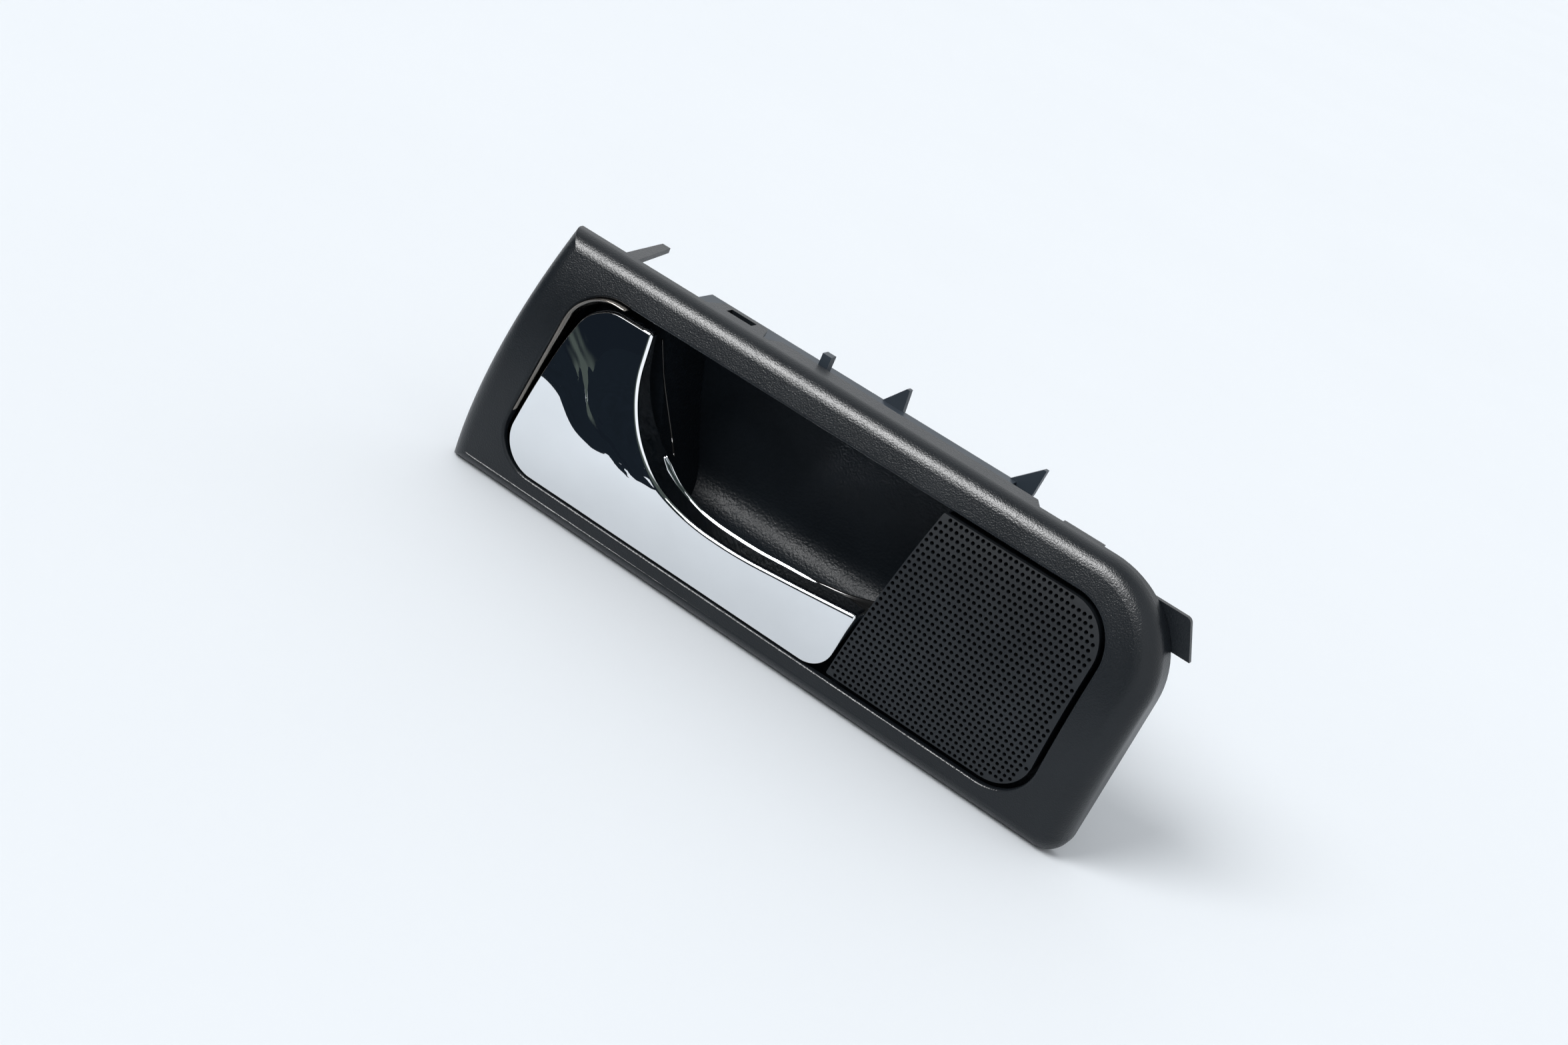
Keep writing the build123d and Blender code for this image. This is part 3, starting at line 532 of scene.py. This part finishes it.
# Bright bead along the back of the finger edge
BEAD_Y = -6.55
BEAD_RADIUS = 0.42
BEAD_FROM_X = -46.5
BEAD_TO_X = 13.0
BEAD_TAPER = 5.0
BEAD_START = 0.3
BEAD_TIP = 0.1
bead_plane = lever_rear[on_grip & (lever_rear[:, 0] > BEAD_FROM_X) & (lever_rear[:, 0] < BEAD_TO_X)]
bead_left = BEAD_START + (bead_plane[:, 0] - BEAD_FROM_X) / BEAD_TAPER
bead_right = BEAD_TIP + (BEAD_TO_X - bead_plane[:, 0]) / BEAD_TAPER
bead_size = BEAD_RADIUS * np.minimum(1.0, np.minimum(bead_left, bead_right))
bead_path = np.stack((bead_plane[:, 0], np.full(len(bead_plane), BEAD_Y), bead_plane[:, 1]), axis=1)
finished(tube("lever_lip", bead_path, bead_size), "pull_lever", "chrome")

# Edge of the pocket's left wall, between the tray and the pocket
WALL_LINE = (
    (-63.9, -2.5, 25.3), (-62.0, 0.0, 18.0), (-59.6, 2.0, 11.1), (-51.7, 2.0, -0.7), (-46.2, -2.0, -4.4),
)
WALL_LINE_RADIUS = 0.3
WALL_LINE_STEPS = 8
wall_path = smooth_curve(WALL_LINE, WALL_LINE_STEPS)
finished(tube("pocket_edge", wall_path, np.full(len(wall_path), WALL_LINE_RADIUS)), "housing", "gloss_black")

# Gloss ridge under the right end of the pocket's mouth
RIDGE_TOP = ((6.0, -12.4), (14.0, -10.8), (22.5, -9.2), (31.2, -6.4), (34.0, -5.2))
RIDGE_BOTTOM = -14.0
RIDGE_FRONT = -5.5
RIDGE_BACK = -4.3
RIDGE_ROUND = 0.3
RIDGE_STEPS = 6
RIDGE_MIDDLE = (RIDGE_FRONT + RIDGE_BACK) / 2.0
ridge_sections = []
for x, z in smooth_curve(RIDGE_TOP, RIDGE_STEPS):
    ridge_sections.append((
        (x, RIDGE_FRONT, RIDGE_BOTTOM),
        (x, RIDGE_FRONT, z - RIDGE_ROUND),
        (x, RIDGE_MIDDLE, z),
        (x, RIDGE_BACK, z - RIDGE_ROUND),
        (x, RIDGE_BACK, RIDGE_BOTTOM),
    ))
finished(section_strip("pocket_ridge", ridge_sections), "housing", "gloss_black")

# Lining of the opening round the lever's hinged end: the opening's corners with their radii
OPENING_CORNERS = (
    (-87.27, 32.3, 15.0),
    (98.59, 32.3, 15.0),
    (95.25, -31.5, 15.0),
    (-96.81, -31.5, 12.5),
)
LINING_FRONT = -16.6
LINING_BACK = -11.5
LINING_WALL = 0.3
LINING_TO_X = -71.0
LINING_FROM_Z = -14.0
LINING_STEP = 0.6
LINING_GAP = 0.1
# The lining's points are sorted along this way, from its lower end to its upper right end
LINING_WAY = (0.6, 1.0)
# How far the lining's back stands in from the opening: at its ends, along its side and round its top corner
LINING_END_REACH = 0.15
LINING_SIDE_REACH = 0.2
LINING_TOP_REACH = 1.2
LINING_LOW_END_Z = 4.0
LINING_HIGH_END_X = -79.0
LINING_TOP_Z = (22.0, 31.0)
opening, opening_out = rounded_outline(OPENING_CORNERS, LINING_STEP)
kept = (opening[:, 0] < LINING_TO_X) & (opening[:, 1] > LINING_FROM_Z)
order = np.argsort(opening[kept] @ LINING_WAY)
lining_sections = []
for edge, out in zip(opening[kept][order], opening_out[kept][order]):
    low_end = smooth_step(edge[1], LINING_FROM_Z, LINING_LOW_END_Z)
    high_end = 1.0 - smooth_step(edge[0], LINING_HIGH_END_X, LINING_TO_X)
    side = LINING_SIDE_REACH + LINING_TOP_REACH * smooth_step(edge[1], *LINING_TOP_Z)
    reach = LINING_END_REACH + side * low_end * high_end
    places = (
        (LINING_GAP, LINING_FRONT),
        (LINING_GAP + LINING_WALL, LINING_FRONT),
        (reach + LINING_WALL, LINING_BACK),
        (LINING_GAP, LINING_BACK),
    )
    lining_sections.append([
        (edge[0] - out[0] * inward, y, edge[1] - out[1] * inward) for inward, y in places])
lining_finish = painted(
    "smoked_gloss", (0.17, 0.155, 0.14), (0.24, 0.22, 0.20), (0.16, 0.26), 1.2, 0.01, wear=6.0, metallic=1.0)
finished(section_strip("surround_lining", lining_sections), "housing", "gloss_black", lining_finish)

for subpart in frame["record"]["subparts"]:
    cad = nodes[subpart["node"]]
    cad.data.materials.clear()
    cad.data.materials.append(FINISHES[subpart["material_slot"]])


def staged_sheet(name, corners, height, finish):
    """A flat sheet of the stage at that height, all in millimetres."""
    sheet = mesh_piece(name, [(x, y, height) for x, y in corners], [tuple(range(len(corners)))])
    sheet.data.materials.append(finish)
    return sheet


# Floor
FLOOR = (
    (-FLOOR_HALF, -FLOOR_HALF),
    (FLOOR_HALF, -FLOOR_HALF),
    (FLOOR_HALF, FLOOR_HALF),
    (-FLOOR_HALF, FLOOR_HALF),
)
floor_paper = painted(
    "floor_paper", (0.875, 0.915, 0.955), (0.885, 0.925, 0.965), (0.85, 0.95), 0.5, 0.0, wear=150.0,
    specular=0.0)
staged_sheet("floor", FLOOR, FLOOR_Z, floor_paper)

# Dark card lying in front of the handle, seen only by mirror rays
CARD = (
    (60.0, -115.0), (-95.0, -115.0), (-110.0, -122.0), (-132.0, -140.0), (-168.0, -142.0), (-436.0, 88.0),
    (-20000.0, 88.0), (-20000.0, -20000.0), (60.0, -20000.0),
)
CARD_ABOVE_FLOOR = 0.5
dark_cloth = painted(
    "dark_cloth", (0.009, 0.013, 0.018), (0.011, 0.016, 0.023), (0.9, 0.95), 1.0, 0.0, specular=0.0)
card = staged_sheet("dark_card", CARD, FLOOR_Z + CARD_ABOVE_FLOOR, dark_cloth)
card.visible_camera = False
card.visible_diffuse = False
card.visible_shadow = False
card.visible_transmission = False


def placed_light(name, lamp, towards):
    """A light that shines from the given direction."""
    thing = bpy.data.objects.new(name, lamp)
    thing.rotation_euler = Vector(towards).to_track_quat("Z", "Y").to_euler()
    bpy.context.scene.collection.objects.link(thing)
    return thing


def sun(name, towards, strength, spread_angle):
    """A distant soft light."""
    lamp = bpy.data.lights.new(name, "SUN")
    lamp.energy = strength
    lamp.angle = math.radians(spread_angle)
    return placed_light(name, lamp, towards)


# Soft key light, and two lights that show only as highlights
KEY_WAY = (-0.35, -0.62, 0.70)
KEY_STRENGTH = 1.85
KEY_SPREAD = 30.0
GLOSS_WAY = (-0.35, -0.60, 0.66)
GLOSS_STRENGTH = 6.5
GLOSS_SPREAD = 24.0
EDGE_WINDOW_WAY = (-0.41, -0.83, 0.38)
EDGE_WINDOW_AWAY = 3.0
EDGE_WINDOW_WIDTH = 1.0
EDGE_WINDOW_HEIGHT = 0.35
EDGE_WINDOW_POWER = 3.0
sun("key_window", KEY_WAY, KEY_STRENGTH, KEY_SPREAD)
gloss_key = sun("gloss_window", GLOSS_WAY, GLOSS_STRENGTH, GLOSS_SPREAD)
gloss_key.visible_diffuse = False
edge_window = bpy.data.lights.new("edge_window", "AREA")
edge_window.shape = "RECTANGLE"
edge_window.size = EDGE_WINDOW_WIDTH
edge_window.size_y = EDGE_WINDOW_HEIGHT
edge_window.energy = EDGE_WINDOW_POWER
edge_lamp = placed_light("edge_window", edge_window, EDGE_WINDOW_WAY)
edge_lamp.location = Vector(EDGE_WINDOW_WAY) * EDGE_WINDOW_AWAY
edge_lamp.visible_diffuse = False
bpy.context.scene.cycles.caustics_reflective = False

# Room: plain for soft light, pale behind the floor, and a dark room with bright sides for mirror rays
PLAIN_ROOM = (0.60, 0.61, 0.62)
PALE_ROOM = (0.84, 0.88, 0.94)
DARK_ROOM = (0.009, 0.013, 0.019)
FAINT_ROOM = (0.075, 0.093, 0.084)
BRIGHT_ROOM = (1.1, 1.13, 1.16)
BEHIND_Y = (-0.05, 0.35)
RIGHT_X = (0.14, 0.30)
FAINT_X = (-0.26, -0.12)
world = bpy.data.worlds.new("room")
bpy.context.scene.world = world
world.use_nodes = True
tree = world.node_tree
background = next(n for n in tree.nodes if n.type == "BACKGROUND")
path = node_of(tree, "LightPath")
coords = node_of(tree, "TexCoord")
split = node_of(tree, "SeparateXYZ")
tree.links.new(coords.outputs["Generated"], split.inputs[0])
behind = spread(tree, split.outputs["Y"], 0.0, 1.0, *BEHIND_Y)
right_side = spread(tree, split.outputs["X"], 0.0, 1.0, *RIGHT_X)
faint_side = spread(tree, split.outputs["X"], 0.0, 1.0, *FAINT_X)
dim = blend_colours(tree, faint_side, DARK_ROOM, FAINT_ROOM)
mirrored = blend_colours(tree, combined(tree, "MAXIMUM", behind, right_side), dim, BRIGHT_ROOM)
plain = blend_colours(tree, path.outputs["Is Camera Ray"], PLAIN_ROOM, PALE_ROOM)
room = blend_colours(tree, path.outputs["Is Glossy Ray"], plain, mirrored)
tree.links.new(room, background.inputs["Color"])
background.inputs["Strength"].default_value = 1.0

# Camera
camera_data = bpy.data.cameras.new("camera")
camera_data.lens = CAMERA_LENS
camera_data.sensor_width = SENSOR_WIDTH
camera_data.clip_end = CAMERA_REACH
camera = bpy.data.objects.new("camera", camera_data)
back = Vector(CAMERA_BACK).normalized()
right = Vector(CAMERA_RIGHT)
right = (right - back * right.dot(back)).normalized()
turn = Matrix((right, back.cross(right), back)).transposed().to_4x4()
camera.matrix_world = Matrix.Translation(Vector(CAMERA_PLACE) * MM) @ turn
bpy.context.scene.collection.objects.link(camera)
bpy.context.scene.camera = camera
bpy.context.scene.view_settings.view_transform = "Standard"
